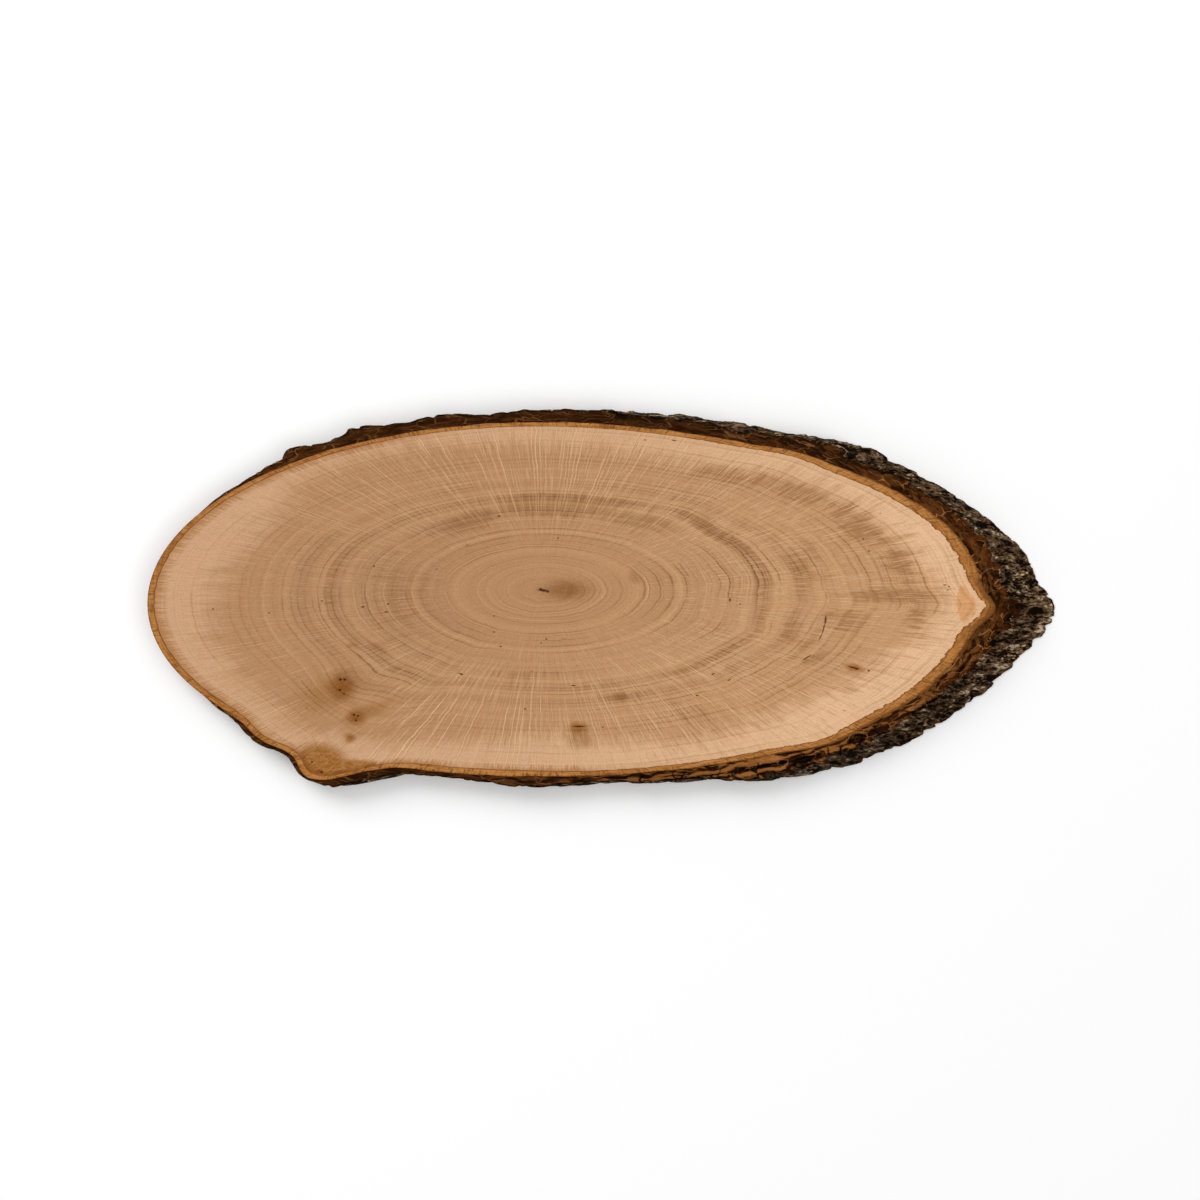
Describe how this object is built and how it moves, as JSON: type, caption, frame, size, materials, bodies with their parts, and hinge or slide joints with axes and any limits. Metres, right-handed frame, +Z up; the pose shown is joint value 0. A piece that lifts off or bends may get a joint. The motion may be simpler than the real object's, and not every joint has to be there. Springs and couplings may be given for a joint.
{
  "type": "wood slice",
  "caption": "Long oval slice of a tree trunk, sawn at a slant, with flat faces, growth rings round an off-centre pith and a rough ring of bark left on the edge.",
  "frame": {"origin": "below the middle of the slice's box, on the lower sawn face", "axes": "+X along the slice's long side, towards the end where the leaning bark shows from above; +Y across it; +Z up, out of the upper sawn face"},
  "size_m": [0.602, 0.2538, 0.015],
  "materials": {
    "wood": "bare sawn wood, matt, pale brown with growth rings",
    "bark": "rough dark brown bark, grey and weathered outside, golden brown next to the wood"
  },
  "bodies": {
    "root": {"wood": "wood", "bark": "bark"}
  },
  "joints": []
}
